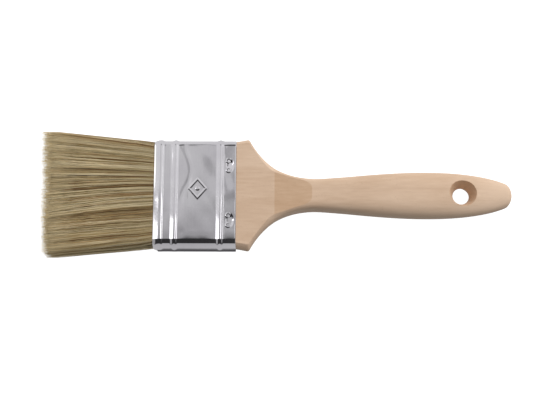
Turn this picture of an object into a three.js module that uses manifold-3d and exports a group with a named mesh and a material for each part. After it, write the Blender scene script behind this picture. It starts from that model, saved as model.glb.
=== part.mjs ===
// Flat paint brush: beech handle, plated sheet ferrule, set bristle banks with spacer plugs.
// The brush lies on its broad back: X runs from the bristle tips (-X) to the hanging hole (+X),
// Y is its width and Z its thickness. Lengths are in millimetres.

import * as THREE from 'three';
import { mergeVertices } from 'three/addons/utils/BufferGeometryUtils.js';
import Module from 'manifold-3d';

const wasm = await Module();
wasm.setup();

// ---- driving dimensions -------------------------------------------------------------------

const gap = 0.3; // between neighbours that touch on the real brush

const bristleLength = 59.6; // free length, ferrule lip to tips
const ferruleLength = 44.2;
const handleLength = 148.2; // visible wood, ferrule's rear edge to the end of the grip
const overallLength = bristleLength + ferruleLength + handleLength;
const gripHalfThickness = 8.5; // thickest place of the brush, so it sets the resting height

const ferruleHalfWidth = 30;
const ferruleHalfThickness = 5.8;
const ferruleSideDepth = 4.8; // how far each rounded narrow side stands out from the flat face
const ferruleWall = 0.4;
const beadHeight = 0.55;
const beadHalfWidth = 1.9;
const beadPlaces = [3.6, 11.3, 35.6]; // bead centres behind the lip

const seamCentre = -0.8; // folded lock seam along the lower narrow side, height of its middle
const seamHalfWidth = 1.8;
const seamHeight = 1.1;
const seamRound = 0.5;
const seamStart = 2;

const stampPlace = 23.6; // lozenge pressed out of the front face
const stampOffset = 2.3;
const stampHalfLength = 5.2;
const stampHalfWidth = 6;
const stampInset = 1.54; // from the outer lozenge to the inner one, along its half axes
const stampDotFoot = 1.1;
const stampDotTop = 0.77;
const stampHeight = 0.15;

const stakePlace = 40.9; // punched dishes that lock the ferrule onto the wood
const stakeSpacing = 15;
const stakeHalfLength = 2.3;
const stakeHalfWidth = 4.2;
const stakeDepth = 0.5;
const prongSpacing = 2.6;
const prongRadius = 0.65;

const headHalfThickness = 5.3; // planed flat faces of the wood behind the ferrule
const planedLength = 20.5; // the flat ends here, and a sloping facet runs out on the neck
const facetSlope = 0.1;
const headHalfBlank = 10; // wood before the faces are planed, at the head and on the neck
const bodyHalfThickness = 7.3;
const neckPlace = 42; // slimmest place
const neckHalfWidth = 8.25;
const gripHalfWidth = 12.4;
const tenonLength = 16.7;
const tenonHalfWidth = ferruleHalfWidth - ferruleWall - gap;
const tenonHalfThickness = ferruleHalfThickness - ferruleWall - gap;

const holePlace = 121.2; // hanging hole, behind the ferrule's rear edge
const holeWaistRadius = 4.4;
const holeWaistHeight = -1; // narrowest a little behind the middle plane
const holeFlare = 0.187; // the radius grows by this times the height off the waist, to a power
const holeFlarePower = 1.3;

const setFront = 14.3; // resin block that holds the butts of the bristles, behind the lip
const setBack = 27.2;
const buttEnd = 14; // bristles run back to the resin
const plugStart = 2; // spacer plugs, a little behind the lip
const plugEnd = 21;
const plugHalfWidth = 26;
const plugThickness = 1.3;
const middleBankHalfThickness = 1;

const flexPlace = 10; // bristles bend about a line this far in front of the lip
const knuckleRadius = 6;
const tipHalfWidth = 34.6;
const tipHalfThickness = 6.8;

const lipX = -overallLength / 2 + bristleLength;
const rearX = lipX + ferruleLength;
const wide = 100; // larger than any cross-section, for cutting blocks

// ---- solids -------------------------------------------------------------------------------

function toManifold(geometry) {
  const bare = geometry.clone();
  bare.deleteAttribute('normal');
  bare.deleteAttribute('uv');
  const merged = mergeVertices(bare, 1e-5);
  return new wasm.Manifold(new wasm.Mesh({
    numProp: 3,
    vertProperties: new Float32Array(merged.attributes.position.array),
    triVerts: new Uint32Array(merged.index.array),
  }));
}

function fromManifold(solid) {
  const result = solid.getMesh();
  const geometry = new THREE.BufferGeometry();
  geometry.setAttribute('position', new THREE.BufferAttribute(result.vertProperties, 3));
  geometry.setIndex(new THREE.BufferAttribute(result.triVerts, 1));
  geometry.computeVertexNormals();
  return geometry;
}

function moved(geometry, x, y, z) {
  geometry.translate(x, y, z);
  return toManifold(geometry);
}

// Skin through rings of equal point count, listed towards +X and each turning anticlockwise as
// seen from +X. A looped skin joins its last ring to its first, and any other gets flat ends.
function skin(rings, looped) {
  const count = rings[0].length;
  const points = rings.flat();
  const faces = [];
  const spans = looped ? rings.length : rings.length - 1;
  for (let r = 0; r < spans; r += 1) {
    const here = r * count;
    const next = ((r + 1) % rings.length) * count;
    for (let k = 0; k < count; k += 1) {
      const k2 = (k + 1) % count;
      faces.push(here + k, here + k2, next + k);
      faces.push(here + k2, next + k2, next + k);
    }
  }
  if (!looped) {
    const last = (rings.length - 1) * count;
    for (let k = 1; k < count - 1; k += 1) {
      faces.push(0, k + 1, k);
      faces.push(last, last + k, last + k + 1);
    }
  }
  const geometry = new THREE.BufferGeometry().setFromPoints(points);
  geometry.setIndex(faces);
  return geometry;
}

// Flat faces with elliptic narrow sides: the section of the ferrule and of all it holds.
function bandRing(x, halfWidth, halfThickness, sideDepth, stepsPerSide = 12) {
  const ring = [];
  for (const side of [1, -1]) {
    for (let k = 0; k <= stepsPerSide; k += 1) {
      const angle = Math.PI * (k / stepsPerSide - 0.5);
      const y = halfWidth - sideDepth + sideDepth * Math.cos(angle);
      ring.push(new THREE.Vector3(x, side * y, side * halfThickness * Math.sin(angle)));
    }
  }
  return ring;
}

function superellipseRing(x, halfWidth, halfThickness, exponent, steps = 40) {
  const ring = [];
  for (let k = 0; k < steps; k += 1) {
    const angle = (2 * Math.PI * k) / steps;
    const c = Math.cos(angle);
    const s = Math.sin(angle);
    const y = halfWidth * Math.sign(c) * Math.abs(c) ** (2 / exponent);
    const z = halfThickness * Math.sign(s) * Math.abs(s) ** (2 / exponent);
    ring.push(new THREE.Vector3(x, y, z));
  }
  return ring;
}

// Profile drawn in X and Z, extruded across the whole width.
function acrossWidth(shape, width = wide) {
  const geometry = new THREE.ExtrudeGeometry(shape, { depth: width, bevelEnabled: false, curveSegments: 12 });
  geometry.rotateX(Math.PI / 2);
  return moved(geometry, 0, width / 2, 0);
}

function block(x0, x1, y0, y1, z0, z1) {
  const geometry = new THREE.BoxGeometry(x1 - x0, y1 - y0, z1 - z0);
  return moved(geometry, (x0 + x1) / 2, (y0 + y1) / 2, (z0 + z1) / 2);
}

// ---- ferrule ------------------------------------------------------------------------------

// Bowl with its flat rim at z = 0, hanging down to -depth.
function bowl(halfLength, halfWidth, depth) {
  const profile = [new THREE.Vector2(0, -depth)];
  const steps = 5;
  for (let k = 1; k <= steps; k += 1) {
    const angle = (Math.PI / 2) * (k / steps);
    profile.push(new THREE.Vector2(Math.sin(angle), -depth * Math.cos(angle)));
  }
  profile.push(new THREE.Vector2(0, 0));
  const geometry = new THREE.LatheGeometry(profile, 20);
  geometry.rotateX(Math.PI / 2);
  geometry.scale(halfLength, halfWidth, 1);
  return geometry;
}

function stakeCentres() {
  const centres = [];
  for (const y of [-stakeSpacing, stakeSpacing]) {
    centres.push(new THREE.Vector3(lipX + stakePlace, y, 1));
    centres.push(new THREE.Vector3(lipX + stakePlace, y, -1));
  }
  return centres;
}

// Bowl set into the front (z = 1) or back (z = -1) face at a height above the middle plane.
function stakeBowl(centre, height, growth) {
  const geometry = bowl(stakeHalfLength + growth, stakeHalfWidth + growth, stakeDepth + growth);
  if (centre.z < 0) {
    geometry.rotateX(Math.PI);
  }
  return moved(geometry, centre.x, centre.y, centre.z * height);
}

function prong(centre, offset, radius, reach) {
  const geometry = new THREE.CylinderGeometry(radius, radius, reach, 10);
  geometry.rotateX(Math.PI / 2);
  const height = ferruleHalfThickness + gap - reach / 2;
  return moved(geometry, centre.x - stakeHalfLength / 3, centre.y + offset, centre.z * height);
}

function ferruleRing(distance, rise) {
  return bandRing(
    lipX + distance,
    ferruleHalfWidth + rise,
    ferruleHalfThickness + rise,
    ferruleSideDepth + rise,
  );
}

// Half width of the middle of the sheet at a height on the narrow side.
function sheetWidth(height) {
  const halfWall = ferruleWall / 2;
  const share = height / (ferruleHalfThickness - halfWall);
  const drawnIn = (ferruleSideDepth - halfWall) * (1 - Math.sqrt(1 - share ** 2));
  return ferruleHalfWidth - halfWall - drawnIn;
}

function ferrule() {
  const stations = [[0, 0]];
  const beadSteps = 6;
  for (const place of beadPlaces) {
    for (let k = 0; k <= beadSteps; k += 1) {
      const t = (2 * k) / beadSteps - 1;
      stations.push([place + t * beadHalfWidth, beadHeight * Math.cos((Math.PI / 2) * t) ** 2]);
    }
  }
  stations.push([ferruleLength, 0]);
  const outside = stations.map(([distance, rise]) => ferruleRing(distance, rise));
  const inside = stations.map(([distance, rise]) => ferruleRing(distance, rise - ferruleWall));
  let solid = toManifold(skin([...outside, ...inside.reverse()], true));

  const seam = new THREE.Shape();
  const seamTop = ferruleHalfWidth + seamHeight;
  const seamLow = seamCentre - seamHalfWidth;
  const seamHigh = seamCentre + seamHalfWidth;
  seam.moveTo(seamLow, sheetWidth(seamLow));
  seam.lineTo(seamCentre, sheetWidth(seamCentre));
  seam.lineTo(seamHigh, sheetWidth(seamHigh));
  seam.lineTo(seamHigh, seamTop - seamRound);
  seam.quadraticCurveTo(seamHigh, seamTop, seamHigh - seamRound, seamTop);
  seam.lineTo(seamLow + seamRound, seamTop);
  seam.quadraticCurveTo(seamLow, seamTop, seamLow, seamTop - seamRound);
  const seamGeometry = new THREE.ExtrudeGeometry(seam, {
    depth: ferruleLength - seamStart,
    bevelEnabled: false,
    curveSegments: 3,
  });
  seamGeometry.applyMatrix4(new THREE.Matrix4().makeBasis(
    new THREE.Vector3(0, 0, 1),
    new THREE.Vector3(0, -1, 0),
    new THREE.Vector3(1, 0, 0),
  ));
  solid = solid.add(moved(seamGeometry, lipX + seamStart, 0, 0));

  solid = solid.add(stamp());
  for (const centre of stakeCentres()) {
    solid = solid.add(stakeBowl(centre, ferruleHalfThickness - ferruleWall / 2, ferruleWall / 2));
  }
  for (const centre of stakeCentres()) {
    solid = solid.subtract(stakeBowl(centre, ferruleHalfThickness + ferruleWall / 2, 0));
    for (const offset of [-prongSpacing, prongSpacing]) {
      solid = solid.subtract(prong(centre, offset, prongRadius, 2));
    }
  }
  return fromManifold(solid);
}

// Raised lozenge outline with a dot in the middle, in place of a size mark.
function stamp() {
  const outline = new THREE.Shape();
  const opening = new THREE.Path();
  const innerLength = stampHalfLength - stampInset;
  const innerWidth = stampHalfWidth - stampInset;
  for (const [path, length, width] of [
    [outline, stampHalfLength, stampHalfWidth],
    [opening, innerLength, innerWidth],
  ]) {
    path.moveTo(length, 0);
    path.lineTo(0, width);
    path.lineTo(-length, 0);
    path.lineTo(0, -width);
    path.closePath();
  }
  outline.holes.push(opening);
  const depth = stampHeight + ferruleWall / 2;
  const ring = new THREE.ExtrudeGeometry(outline, { depth, bevelEnabled: false });
  const dot = new THREE.CylinderGeometry(stampDotTop, stampDotFoot, depth, 14);
  dot.rotateX(Math.PI / 2);
  const x = lipX + stampPlace;
  const z = ferruleHalfThickness - ferruleWall / 2;
  return moved(ring, x, stampOffset, z).add(moved(dot, x, stampOffset, z + depth / 2));
}

// ---- handle -------------------------------------------------------------------------------

// Half outline seen from the front: x behind the ferrule's rear edge, y the half width.
function handlePlan() {
  const plan = new THREE.Path();
  plan.moveTo(0, 29.5);
  plan.lineTo(3, 30);
  plan.lineTo(6.1, 30.65);
  plan.quadraticCurveTo(6.8, 30.65, 7.3, 29.8);
  plan.bezierCurveTo(11.3, 22.2, 21.5, neckHalfWidth, neckPlace, neckHalfWidth);
  plan.bezierCurveTo(50.7, neckHalfWidth, 79.2, gripHalfWidth, 103, gripHalfWidth);
  plan.bezierCurveTo(109, gripHalfWidth, 130.6, 12.5, 145, 6.6);
  plan.bezierCurveTo(146.9, 5.4, 148, 3.2, handleLength, 0.8);
  return plan;
}

// Half thickness along the handle, before its faces are planed.
function handleSide() {
  const side = new THREE.Path();
  side.moveTo(-1, headHalfBlank);
  side.lineTo(9, headHalfBlank);
  side.bezierCurveTo(13, headHalfBlank, 15, bodyHalfThickness, planedLength, bodyHalfThickness);
  side.lineTo(neckPlace, bodyHalfThickness);
  side.bezierCurveTo(56, bodyHalfThickness, 70, gripHalfThickness, 92, gripHalfThickness);
  side.bezierCurveTo(115, gripHalfThickness, 130, 6.6, 145, 4.7);
  side.bezierCurveTo(147, 4.3, handleLength, 2.6, handleLength + 0.001, 0.5);
  return side;
}

function heightAt(points, x) {
  const k = points.findIndex((point) => point.x >= x);
  const before = points[Math.max(k - 1, 0)];
  const after = points[k];
  const t = after.x === before.x ? 0 : (x - before.x) / (after.x - before.x);
  return before.y + t * (after.y - before.y);
}

// Superellipse exponent of the section: squarest on the neck, rounder at the grip's end.
function sectionExponent(x) {
  const stages = [[0, 2.5], [planedLength, 2.5], [28, 3.9], [36, 5], [60, 3.4], [handleLength, 2.3]];
  const points = stages.map(([place, value]) => new THREE.Vector2(place, value));
  return heightAt(points, x);
}

// What planing removes above the front face: flat, then sloping until it leaves the wood.
function planedAway() {
  const top = gripHalfThickness + 5;
  const start = rearX - tenonLength - 5;
  const crease = rearX + planedLength;
  const shape = new THREE.Shape();
  shape.moveTo(start, headHalfThickness);
  shape.lineTo(crease, headHalfThickness);
  shape.lineTo(crease + (top - headHalfThickness) / facetSlope, top);
  shape.lineTo(start, top);
  return shape;
}

function hangingHole() {
  const reach = gripHalfThickness + 1;
  const steps = 6;
  const profile = [new THREE.Vector2(0, -reach)];
  for (let k = -steps; k <= steps; k += 1) {
    const furthest = k < 0 ? reach + holeWaistHeight : reach - holeWaistHeight;
    const height = (furthest * k) / steps;
    const flare = holeFlare * Math.abs(height) ** holeFlarePower;
    profile.push(new THREE.Vector2(holeWaistRadius + flare, holeWaistHeight + height));
  }
  profile.push(new THREE.Vector2(0, reach));
  const geometry = new THREE.LatheGeometry(profile, 36);
  geometry.rotateX(Math.PI / 2);
  return moved(geometry, rearX + holePlace, 0, 0);
}

function handle() {
  const plan = handlePlan().getPoints(12);
  const side = handleSide().getPoints(24);
  const shortestStep = 0.02;
  const stations = plan.filter((point, k) => k === 0 || point.x > plan[k - 1].x + shortestStep);
  const rings = stations.map(({ x, y }) =>
    superellipseRing(rearX + x, y, heightAt(side, x), sectionExponent(x)));
  let solid = toManifold(skin(rings, false));
  const cutter = planedAway();
  solid = solid.subtract(acrossWidth(cutter));
  solid = solid.subtract(acrossWidth(cutter).mirror([0, 0, 1]));
  solid = solid.subtract(hangingHole());

  const tenonSide = ferruleSideDepth - ferruleWall;
  const tenonRings = [rearX - tenonLength, rearX + 1].map((x) =>
    bandRing(x, tenonHalfWidth - 0.2, tenonHalfThickness, tenonSide));
  solid = solid.add(toManifold(skin(tenonRings, false)));
  for (const centre of stakeCentres()) {
    const clearance = ferruleWall / 2 + gap;
    solid = solid.subtract(stakeBowl(centre, ferruleHalfThickness - ferruleWall / 2, clearance));
  }
  return fromManifold(solid);
}

// ---- bristles, spacer plugs and setting resin -----------------------------------------------

// Outer form of the whole tuft, roots and free length together.
function tuft() {
  const insideWidth = tenonHalfWidth;
  const insideThickness = tenonHalfThickness;
  const sideDepth = ferruleSideDepth - ferruleWall;
  const stations = [
    [buttEnd, insideWidth, insideThickness],
    [0, insideWidth, insideThickness],
    [-2, 30, 5.5],
    [-flexPlace, 30.7, 5.8],
    [-35, 32.9, 6.9],
    [5.5 - bristleLength, tipHalfWidth, tipHalfThickness],
    [2.2 - bristleLength, tipHalfWidth - 0.4, 6.5],
    [0.6 - bristleLength, tipHalfWidth - 1.3, 5.9],
    [-bristleLength, tipHalfWidth - 2.8, 5],
  ];
  const rings = stations.map(([distance, halfWidth, halfThickness]) =>
    bandRing(lipX + distance, halfWidth, halfThickness, sideDepth, 8));
  return toManifold(skin(rings.reverse(), false));
}

function knuckle(radius) {
  const geometry = new THREE.CylinderGeometry(radius, radius, wide, 48);
  return moved(geometry, lipX - flexPlace, 0, 0);
}

// Heights between which each bank of bristles and each plug lies.
const plugBottom = middleBankHalfThickness + gap;
const plugTop = plugBottom + plugThickness;
const outerBankBottom = plugTop + gap;
const freeSplit = (plugBottom + plugTop) / 2;

function bristleRoots(low, high) {
  const flexX = lipX - flexPlace;
  const slab = block(flexX, lipX + buttEnd, -wide, wide, low, high);
  return fromManifold(tuft().intersect(slab).subtract(knuckle(knuckleRadius + gap)));
}

function freeBristles(low, high) {
  const flexX = lipX - flexPlace;
  const reach = block(flexX - bristleLength, flexX, -wide, wide, -wide, wide);
  const slab = block(flexX - bristleLength, flexX + wide, -wide, wide, low, high);
  return fromManifold(tuft().intersect(reach.add(knuckle(knuckleRadius))).intersect(slab));
}

function spacerPlug(centreZ) {
  const half = plugThickness / 2;
  const shape = new THREE.Shape();
  shape.moveTo(lipX + plugEnd, centreZ - half);
  shape.lineTo(lipX + plugEnd, centreZ + half);
  shape.lineTo(lipX + plugStart + 2, centreZ + half);
  shape.quadraticCurveTo(lipX + plugStart, centreZ + half, lipX + plugStart, centreZ);
  shape.quadraticCurveTo(lipX + plugStart, centreZ - half, lipX + plugStart + 2, centreZ - half);
  return fromManifold(acrossWidth(shape, 2 * plugHalfWidth));
}

// Resin that binds the butts of the bristles, with two slots that hold the spacer plugs.
function settingBlock() {
  const sideDepth = ferruleSideDepth - ferruleWall;
  const rings = [setFront, setBack].map((distance) =>
    bandRing(lipX + distance, tenonHalfWidth, tenonHalfThickness, sideDepth));
  let solid = toManifold(skin(rings, false));
  const slotEnd = lipX + plugEnd + gap;
  const slotHalfWidth = plugHalfWidth + gap;
  for (const side of [1, -1]) {
    const centreZ = (side * (plugBottom + plugTop)) / 2;
    const halfSlot = plugThickness / 2 + gap;
    solid = solid.subtract(block(
      lipX, slotEnd, -slotHalfWidth, slotHalfWidth, centreZ - halfSlot, centreZ + halfSlot,
    ));
  }
  return fromManifold(solid);
}

// ---- assembly -----------------------------------------------------------------------------

const beech = { color: 0xcab29a, roughness: 0.55, metalness: 0 };
const plate = { color: 0xc9c7cc, roughness: 0.18, metalness: 1 };
const resin = { color: 0x6b4a2a, roughness: 0.35, metalness: 0 };
const bristle = { color: 0x968568, roughness: 0.7, metalness: 0 };

const brush = new THREE.Group();
brush.position.z = gripHalfThickness;

function place(name, geometry, finish) {
  const mesh = new THREE.Mesh(geometry, new THREE.MeshStandardMaterial(finish));
  mesh.name = name;
  brush.add(mesh);
}

place('handle', handle(), beech);
place('ferrule', ferrule(), plate);
place('setting_resin', settingBlock(), resin);
place('spacer_plug_front', spacerPlug((plugBottom + plugTop) / 2), beech);
place('spacer_plug_back', spacerPlug(-(plugBottom + plugTop) / 2), beech);

const halfGap = gap / 2;
place('bristle_roots_front', bristleRoots(outerBankBottom, wide), bristle);
place('bristle_roots_middle', bristleRoots(-middleBankHalfThickness, middleBankHalfThickness), bristle);
place('bristle_roots_back', bristleRoots(-wide, -outerBankBottom), bristle);
place('bristles_front', freeBristles(freeSplit + halfGap, wide), bristle);
place('bristles_middle', freeBristles(-freeSplit + halfGap, freeSplit - halfGap), bristle);
place('bristles_back', freeBristles(-wide, -freeSplit - halfGap), bristle);

export default brush;
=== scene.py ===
"""Looks of a flat paint brush: beech handle, plated ferrule and three banks of hog bristle.

Lengths in the tables below are millimetres in the brush's own axes: x behind the ferrule's
lip (bristles at negative x), y across the width, z above the brush's middle plane.
"""
import math

import bpy
import numpy as np
from mathutils import Matrix, Quaternion, Vector


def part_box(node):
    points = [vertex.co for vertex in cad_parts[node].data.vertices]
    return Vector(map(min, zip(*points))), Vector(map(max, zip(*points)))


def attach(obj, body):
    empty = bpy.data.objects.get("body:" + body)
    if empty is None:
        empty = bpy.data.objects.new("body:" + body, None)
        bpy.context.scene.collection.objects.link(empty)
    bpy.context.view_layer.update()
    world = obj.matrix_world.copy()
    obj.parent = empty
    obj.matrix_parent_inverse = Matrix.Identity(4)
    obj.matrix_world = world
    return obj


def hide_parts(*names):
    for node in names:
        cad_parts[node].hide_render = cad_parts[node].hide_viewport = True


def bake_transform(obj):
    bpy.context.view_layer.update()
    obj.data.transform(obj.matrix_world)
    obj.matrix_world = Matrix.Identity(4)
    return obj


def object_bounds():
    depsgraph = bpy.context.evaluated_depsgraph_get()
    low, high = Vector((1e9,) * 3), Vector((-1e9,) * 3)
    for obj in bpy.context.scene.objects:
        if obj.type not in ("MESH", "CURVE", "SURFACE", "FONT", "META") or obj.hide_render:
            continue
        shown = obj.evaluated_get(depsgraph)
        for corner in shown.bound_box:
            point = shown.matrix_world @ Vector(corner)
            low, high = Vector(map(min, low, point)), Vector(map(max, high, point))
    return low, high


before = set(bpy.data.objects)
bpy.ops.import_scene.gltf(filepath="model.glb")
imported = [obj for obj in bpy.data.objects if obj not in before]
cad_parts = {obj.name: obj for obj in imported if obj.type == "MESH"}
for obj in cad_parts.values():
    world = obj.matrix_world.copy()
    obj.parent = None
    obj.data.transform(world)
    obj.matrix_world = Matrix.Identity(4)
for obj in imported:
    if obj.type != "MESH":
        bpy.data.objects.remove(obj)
cad_low, cad_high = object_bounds()

scene = bpy.context.scene
scene.view_settings.view_transform = "Standard"
random = np.random.default_rng(60)

# ---- dimensions ---------------------------------------------------------------------------

MM = 0.001
LIP_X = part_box("ferrule")[0].x / MM
MIDDLE_Z = (cad_low.z + cad_high.z) / 2 / MM

BRISTLE_LENGTH = 59.6
FERRULE_LENGTH = 44.2

FERRULE_HALF_WIDTH = 30
FERRULE_HALF_THICKNESS = 5.8
FERRULE_BENDS = ((4.2, 50), (6.7, 90))  # radius and reached angle of the turn to each side
FERRULE_WALL = 0.4
BEADS = (3.6, 11.3, 35.6)
BEAD_HEIGHT = 0.55
BEAD_HALF_WIDTH = 1.9
LIP_DROP = 0.3  # how far the plate is drawn in at the lip, over the length below
LIP_DROP_LENGTH = 2.4
RIM_STEPS = (0, 0.08, 0.2, 0.38, 0.6)  # fine steps of the grid from either rim
RIM_END = 0.75  # where the plain grid takes over
RIM_ROLL = 0.3
LIP_ROLL_LENGTH = 0.9
REAR_ROLL_LENGTH = 0.6
SEAM_START = 2
SEAM_CENTRE = -0.8
SEAM_HALF_WIDTH = 1.8
SEAM_HEIGHT = 1.1
SEAM_FOLD = 0.5  # width of the step at either edge of the seam
SEAM_SHADOW = 0.45

# Knocks in the plate: place, offset, size and depth. Falls between beads: from, to, depth.
DENTS = ((15.4, -21.5, 1.7, 0.035), (8, 20, 2.2, 0.03), (30, -12, 4, 0.02), (39, 3, 3, 0.04))
PILLOWS = ((5.5, 9.4, 0.03), (13.2, 33.7, 0.12), (37.5, 46, 0.07))
PILLOW_START = 20.5  # distance from the middle line where the falls begin
CREASE_DEPTH = 0.055
CREASE_HALF_WIDTH = 1.5
PLATE_GRID = (0.17, 0.36)  # fine and coarse steps round the band
PLATE_GRID_ALONG = (0.19, 0.32)

STAMP = (23.6, 2.3)  # lozenge pressed out of the front face: place and offset
STAMP_HALF_LENGTH = 5.2
STAMP_HALF_WIDTH = 6
STAMP_LINE = 1.1
STAMP_HEIGHT = 0.095

STAKE_PLACE = 40.9  # punched dishes that lock the ferrule onto the wood
STAKE_SPACING = 15
STAKE_HALF_LENGTH = 2.3
STAKE_HALF_WIDTH = 4.2
STAKE_DEPTH = 0.6
STAKE_MARGIN = 0.4  # the fine grid goes on this far round a dish
PRONG_SPACING = 2.6
PRONG_RADIUS = 0.65
PRONG_DEPTH = 0.9
BURR_HEIGHT = 0.16
BURR_PLACE = 1.75  # in prong radii, as is the width of the burr
BURR_WIDTH = 0.4

HEAD_HALF_THICKNESS = 5.3
PLANED_LENGTH = 20.5
FACET_SLOPE = 0.1
CUTTER_HEIGHT = 15
TENON_LENGTH = 16.7
TENON_GAP = 0.15  # between the tenon and the inside of the plate
HOLE_PLACE = 121.2
HOLE_WAIST = 4.4
HOLE_WAIST_HEIGHT = -1
HOLE_FLARE = (0.187, 1.3)  # growth of the radius off the waist: factor and power of the height
HOLE_CUTTER_REACH = (-8.6, 10.6)  # from the waist, clear of both faces
WOOD_STEP = 0.5
WOOD_CORNERS = 168
WOOD_CREASE = 5  # degrees
TENON_CREASE = 30

# Half outline of the wood, x behind the ferrule's rear edge, as lines and Bezier arcs.
HANDLE_PLAN = (
    ((0, 29.5), (3, 30)),
    ((3, 30), (6.1, 30.65)),
    ((6.1, 30.65), (6.8, 30.65), (7.3, 29.8)),
    ((7.3, 29.8), (11.3, 22.2), (21.5, 8.25), (42, 8.25)),
    ((42, 8.25), (50.7, 8.25), (79.2, 12.4), (103, 12.4)),
    ((103, 12.4), (109, 12.4), (130.6, 12.5), (145, 6.6)),
    ((145, 6.6), (146.9, 5.4), (148, 3.2), (148.2, 0.8)),
)
# Half thickness of the wood before its faces are planed.
HANDLE_SIDE = (
    ((-1, 10), (9, 10)),
    ((9, 10), (13, 10), (15, 7.3), (20.5, 7.3)),
    ((20.5, 7.3), (42, 7.3)),
    ((42, 7.3), (56, 7.3), (70, 8.5), (92, 8.5)),
    ((92, 8.5), (115, 8.5), (130, 6.6), (145, 4.7)),
    ((145, 4.7), (147, 4.3), (148.2, 2.6), (148.201, 0.5)),
)
SECTION_PLACES = (0, 20.5, 28, 36, 60, 148.2)
SECTION_EXPONENTS = (2.5, 2.5, 3.9, 5, 3.4, 2.3)

# Tuft: distance in front of the lip, half width, half thickness.
TUFT_REACH = (-14, 0, 2, 10, 35, 53.5, 59.6)
TUFT_HALF_WIDTH = (29.1, 29.2, 29.9, 30.6, 32.8, 34.5, 34.6)
TUFT_HALF_THICKNESS = (5.0, 5.0, 5.35, 5.75, 6.75, 6.7, 6.5)
ROUNDING = (0.14, 0.08)  # share of the width lost at the faces, and how much of it fans out again

BANK_OPENING = 14  # distance in front of the lip over which the three banks close up

# Hairs.
HAIR_RINGS = 9
HAIR_RADIUS = (0.07, 0.13)
HAIR_TAPER = ((0, 1), (0.6, 0.95), (0.92, 0.72), (1, 0.28))  # place along the hair, share
CLUMP_HAIRS = 9
CLUMP_DRAW = 0.5  # how far a hair is drawn to the middle of its clump
HAIR_START = -2.5
TRIM_PAST = 1.3  # reach of the longest hairs past the bristle length
TRIM_SLANT = 1.4  # extra length at the upper side, and loss at the lower one
TRIM_LIMITS = (40, BRISTLE_LENGTH + 1.8)
COMB_SWEEP = 6.4  # sideways sweep of the tuft's middle at the tips
STRAY_SHARE = 0.14
STRAY_LEAN = 2.0
TIP_WANDER = 0.35
CORE_REACH = 55
CORE_CORNERS = 96

# ---- shapes -------------------------------------------------------------------------------


def arc_points(control, steps=60):
    """Points along a line, quadratic or cubic Bezier arc."""
    t = np.linspace(0, 1, steps)[:, None]
    points = [np.array(p, float) * np.ones_like(t) for p in control]
    while len(points) > 1:
        points = [a + (b - a) * t for a, b in zip(points, points[1:])]
    return points[0]


def path_points(arcs):
    return np.concatenate([arc_points(arc) for arc in arcs])


def evenly(points, spacing):
    """Resamples a polyline at about the given spacing along its length."""
    steps = np.linalg.norm(np.diff(points, axis=0), axis=1)
    length = np.concatenate([[0], np.cumsum(steps)])
    wanted = np.linspace(0, length[-1], int(length[-1] / spacing) + 1)
    return np.stack([np.interp(wanted, length, column) for column in points.T], axis=1)


def spread(places, fine, coarse, start, end):
    """Grid lines from start to end: fine inside the (from, to) places, coarse elsewhere."""
    lines = [start]
    while lines[-1] < end:
        here = lines[-1]
        inside = any(a - coarse < here < b for a, b in places)
        lines.append(here + (fine if inside else coarse))
    lines = np.array(lines)
    return start + (lines - start) * (end - start) / (lines[-1] - start)


def smooth(t):
    t = np.clip(t, 0, 1)
    return t * t * (3 - 2 * t)


def to_metres(points):
    """From the brush's own axes, x from the lip, to the frame."""
    moved = np.array(points, float)
    moved[..., 0] += LIP_X
    moved[..., 2] += MIDDLE_Z
    return moved * MM


def grid_faces(rows, columns, wrap=True, first=0):
    """Quads between rows of a grid of points, numbered row by row from first."""
    r = np.arange(rows - 1)[:, None]
    c = np.arange(columns if wrap else columns - 1)[None, :]
    here = first + r * columns + c
    beside = first + r * columns + (c + 1) % columns
    quads = np.stack([here, beside, beside + columns, here + columns], axis=-1)
    return quads.reshape(-1, 4)


def make_object(name, points, faces, smooth_faces=True):
    mesh = bpy.data.meshes.new(name)
    mesh.from_pydata(to_metres(points).tolist(), [], [list(f) for f in faces])
    mesh.update()
    mesh.polygons.foreach_set("use_smooth", [smooth_faces] * len(mesh.polygons))
    made = bpy.data.objects.new(name, mesh)
    scene.collection.objects.link(made)
    return made


def loft(name, rings, smooth_faces=True):
    """Closed skin through rings listed towards +X, each anticlockwise as seen from +X."""
    rings = np.array(rings)
    rows, columns = rings.shape[:2]
    faces = grid_faces(rows, columns).tolist()
    faces.append(list(range(columns - 1, -1, -1)))
    faces.append(list(range((rows - 1) * columns, rows * columns)))
    return make_object(name, rings.reshape(-1, 3), faces, smooth_faces)


def superellipse(half_width, half_thickness, width_power, thickness_power, steps):
    angle = np.linspace(0, 2 * math.pi, steps, endpoint=False)
    c, s = np.cos(angle), np.sin(angle)
    y = half_width * np.sign(c) * np.abs(c) ** (2 / width_power)
    z = half_thickness * np.sign(s) * np.abs(s) ** (2 / thickness_power)
    return y, z


# ---- handle -------------------------------------------------------------------------------


def ring_at(x, y, z):
    return np.stack([np.full_like(y, x), y, z], axis=1)


def cut_away(target, cutter):
    """Takes the cutter's volume out of the target."""
    modifier = target.modifiers.new("cut", "BOOLEAN")
    modifier.operation = "DIFFERENCE"
    modifier.solver = "EXACT"
    modifier.object = cutter
    depsgraph = bpy.context.evaluated_depsgraph_get()
    result = bpy.data.meshes.new_from_object(target.evaluated_get(depsgraph))
    target.modifiers.clear()
    target.data = result
    bpy.data.objects.remove(cutter)


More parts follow.
